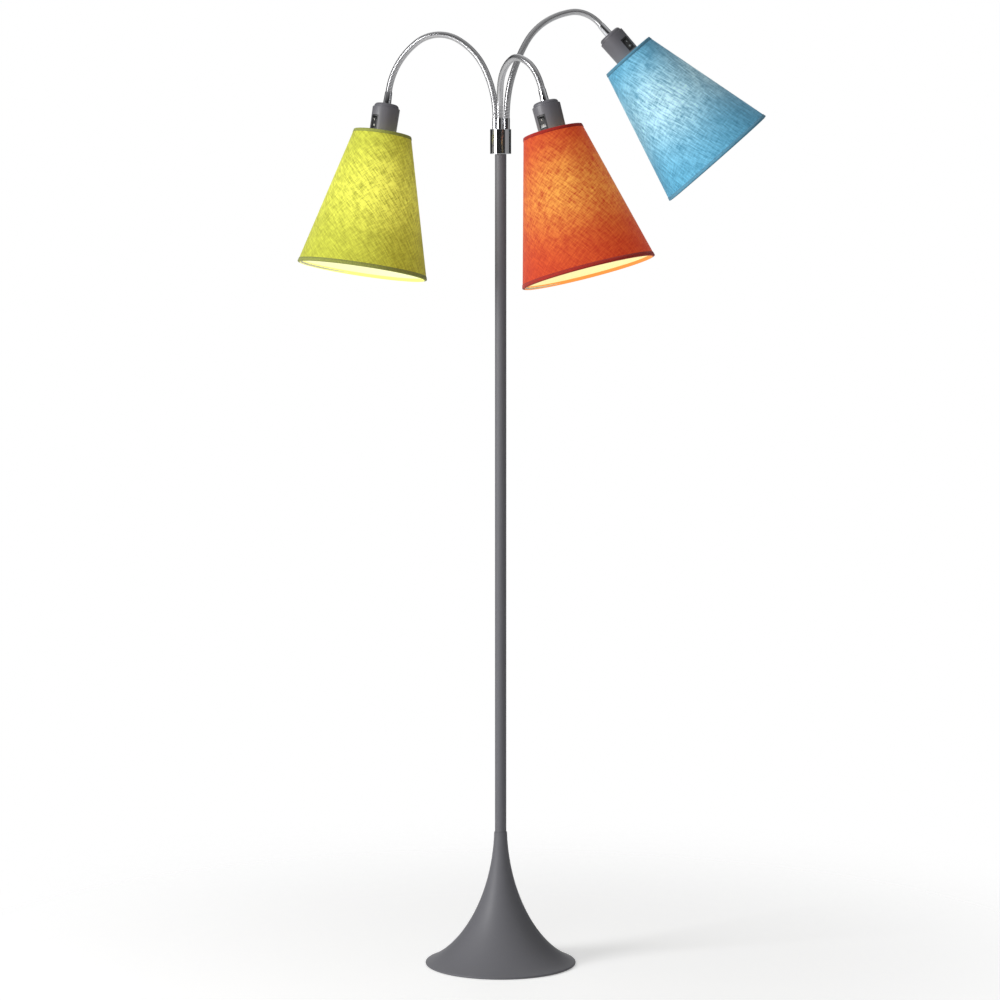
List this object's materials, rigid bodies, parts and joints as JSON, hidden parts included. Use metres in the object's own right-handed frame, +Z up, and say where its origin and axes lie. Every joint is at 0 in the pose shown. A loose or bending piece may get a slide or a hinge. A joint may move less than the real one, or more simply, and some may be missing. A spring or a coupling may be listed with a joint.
{
  "type": "tree floor lamp",
  "caption": "Floor lamp with a trumpet foot, a slim pole and ribbed flexible necks, each carrying a lampholder with a rocker switch and a conical fabric shade.",
  "frame": {"origin": "on the floor under the pole's axis, in the underside of the base pad", "axes": "+Z up along the pole, +X to the right and +Y away from someone standing in front of the lamp, with the front arm's shade towards -Y"},
  "size_m": [0.7343, 0.5915, 1.5121],
  "materials": {
    "grey_paint": "satin",
    "cast_iron": "matte",
    "felt": "matte",
    "steel": "satin",
    "black_rubber": "matte",
    "chrome": "polished",
    "neck_metal": "satin",
    "holder_grey": "satin",
    "switch_black": "gloss",
    "brass": "satin",
    "wire": "satin",
    "lime_cloth": "matte",
    "orange_cloth": "matte",
    "blue_cloth": "matte",
    "lime_hem": "matte",
    "orange_hem": "matte",
    "blue_hem": "matte",
    "opal_glass": "satin",
    "cap_aluminium": "satin"
  },
  "bodies": {
    "stand": {"base_shell": "grey_paint", "base_weight": "cast_iron", "base_pad": "felt", "tie_tube": "steel", "tie_nut": "steel", "pole_plug": "steel", "cord_grommet": "black_rubber", "pole": "grey_paint", "pole_hub": "steel", "collar": "chrome", "collar_screw": "steel", "lower_ferrules": "chrome"},
    "left_neck_1_body": {"left_neck_1": "neck_metal"},
    "left_neck_2_body": {"left_neck_2": "neck_metal"},
    "left_neck_3_body": {"left_neck_3": "neck_metal"},
    "left_neck_4_body": {"left_neck_4": "neck_metal"},
    "left_head": {"left_upper_ferrule": "chrome", "left_holder_cap": "holder_grey", "left_holder_body": "holder_grey", "left_switch_frame": "switch_black", "left_screw_shell": "brass", "left_shade_ring": "holder_grey", "left_shade_frame": "wire", "left_shade": "lime_cloth", "left_shade_hems": "lime_hem", "left_bulb": "opal_glass", "left_bulb_cap": "cap_aluminium"},
    "left_switch": {"left_rocker": "switch_black"},
    "front_neck_1_body": {"front_neck_1": "neck_metal"},
    "front_neck_2_body": {"front_neck_2": "neck_metal"},
    "front_neck_3_body": {"front_neck_3": "neck_metal"},
    "front_neck_4_body": {"front_neck_4": "neck_metal"},
    "front_head": {"front_upper_ferrule": "chrome", "front_holder_cap": "holder_grey", "front_holder_body": "holder_grey", "front_switch_frame": "switch_black", "front_screw_shell": "brass", "front_shade_ring": "holder_grey", "front_shade_frame": "wire", "front_shade": "orange_cloth", "front_shade_hems": "orange_hem", "front_bulb": "opal_glass", "front_bulb_cap": "cap_aluminium"},
    "front_switch": {"front_rocker": "switch_black"},
    "right_neck_1_body": {"right_neck_1": "neck_metal"},
    "right_neck_2_body": {"right_neck_2": "neck_metal"},
    "right_neck_3_body": {"right_neck_3": "neck_metal"},
    "right_neck_4_body": {"right_neck_4": "neck_metal"},
    "right_head": {"right_upper_ferrule": "chrome", "right_holder_cap": "holder_grey", "right_holder_body": "holder_grey", "right_switch_frame": "switch_black", "right_screw_shell": "brass", "right_shade_ring": "holder_grey", "right_shade_frame": "wire", "right_shade": "blue_cloth", "right_shade_hems": "blue_hem", "right_bulb": "opal_glass", "right_bulb_cap": "cap_aluminium"},
    "right_switch": {"right_rocker": "switch_black"}
  },
  "joints": [
    {"name": "left_turn", "type": "hinge", "parent": "stand", "child": "left_neck_1_body", "pos_m": [-0.00769, 0.00623, 1.3377], "axis": [0, 0, 1], "range_deg": [-45, 45]},
    {"name": "left_bend", "type": "hinge", "parent": "left_neck_1_body", "child": "left_neck_2_body", "pos_m": [-0.02547, 0.00468, 1.41498], "axis": [-0.0383, -0.9974, -0.061], "range_deg": [-15, 5]},
    {"name": "left_bend_2", "type": "hinge", "parent": "left_neck_2_body", "child": "left_neck_3_body", "pos_m": [-0.06637, 0.00355, 1.45902], "axis": [-0.0383, -0.9974, -0.061], "range_deg": [-15, 5]},
    {"name": "left_bend_3", "type": "hinge", "parent": "left_neck_3_body", "child": "left_neck_4_body", "pos_m": [-0.13025, 0.00626, 1.4548], "axis": [-0.1857, -0.9737, 0.1317], "range_deg": [-15, 5]},
    {"name": "left_tilt", "type": "hinge", "parent": "left_neck_4_body", "child": "left_head", "pos_m": [-0.17395, 0.00447, 1.37991], "axis": [0.1857, 0.9737, -0.1317], "range_deg": [-20, 20]},
    {"name": "left_switch", "type": "hinge", "parent": "left_head", "child": "left_switch", "pos_m": [-0.19365, -0.01253, 1.33125], "axis": [-0.6815, 0.7316, 0.0202], "range_deg": [0, 14]},
    {"name": "front_turn", "type": "hinge", "parent": "stand", "child": "front_neck_1_body", "pos_m": [-0.00155, -0.00978, 1.3377], "axis": [0, 0, 1], "range_deg": [-45, 45]},
    {"name": "front_bend", "type": "hinge", "parent": "front_neck_1_body", "child": "front_neck_2_body", "pos_m": [-0.00059, -0.03722, 1.38339], "axis": [0.8292, 0.2848, 0.4809], "range_deg": [-15, 10]},
    {"name": "front_bend_2", "type": "hinge", "parent": "front_neck_2_body", "child": "front_neck_3_body", "pos_m": [0.01796, -0.16038, 1.42436], "axis": [0.8379, 0.2848, 0.4657], "range_deg": [-15, 10]},
    {"name": "front_bend_3", "type": "hinge", "parent": "front_neck_3_body", "child": "front_neck_4_body", "pos_m": [0.03956, -0.21285, 1.41757], "axis": [0.8788, 0.4424, 0.1786], "range_deg": [-15, 10]},
    {"name": "front_tilt", "type": "hinge", "parent": "front_neck_4_body", "child": "front_head", "pos_m": [0.06088, -0.23939, 1.37842], "axis": [-0.8788, -0.4424, -0.1786], "range_deg": [-20, 20]},
    {"name": "front_switch", "type": "hinge", "parent": "front_head", "child": "front_switch", "pos_m": [0.06418, -0.25882, 1.32687], "axis": [-0.7796, 0.5679, -0.264], "range_deg": [0, 14]},
    {"name": "right_turn", "type": "hinge", "parent": "stand", "child": "right_neck_1_body", "pos_m": [0.00924, 0.00355, 1.3377], "axis": [0, 0, 1], "range_deg": [-45, 45]},
    {"name": "right_bend", "type": "hinge", "parent": "right_neck_1_body", "child": "right_neck_2_body", "pos_m": [0.01794, 0.01925, 1.40243], "axis": [-0.6676, 0.7213, -0.1846], "range_deg": [-15, 15]},
    {"name": "right_bend_2", "type": "hinge", "parent": "right_neck_2_body", "child": "right_neck_3_body", "pos_m": [0.04017, 0.05366, 1.45653], "axis": [-0.384, 0.8228, -0.4189], "range_deg": [-15, 15]},
    {"name": "right_bend_3", "type": "hinge", "parent": "right_neck_3_body", "child": "right_neck_4_body", "pos_m": [0.11102, 0.1121, 1.50638], "axis": [-0.401, 0.8374, -0.3715], "range_deg": [-15, 15]},
    {"name": "right_tilt", "type": "hinge", "parent": "right_neck_4_body", "child": "right_head", "pos_m": [0.15779, 0.12644, 1.48821], "axis": [0.401, -0.8374, 0.3715], "range_deg": [-20, 20]},
    {"name": "right_switch", "type": "hinge", "parent": "right_head", "child": "right_switch", "pos_m": [0.20025, 0.11224, 1.45594], "axis": [-0.5941, -0.6245, -0.507], "range_deg": [0, 14]}
  ],
  "couplings": [
    {"joint": "left_bend_2", "follows": "left_bend", "ratio": 1},
    {"joint": "left_bend_3", "follows": "left_bend", "ratio": 1},
    {"joint": "front_bend_2", "follows": "front_bend", "ratio": 1},
    {"joint": "front_bend_3", "follows": "front_bend", "ratio": 1},
    {"joint": "right_bend_2", "follows": "right_bend", "ratio": 1},
    {"joint": "right_bend_3", "follows": "right_bend", "ratio": 1}
  ]
}
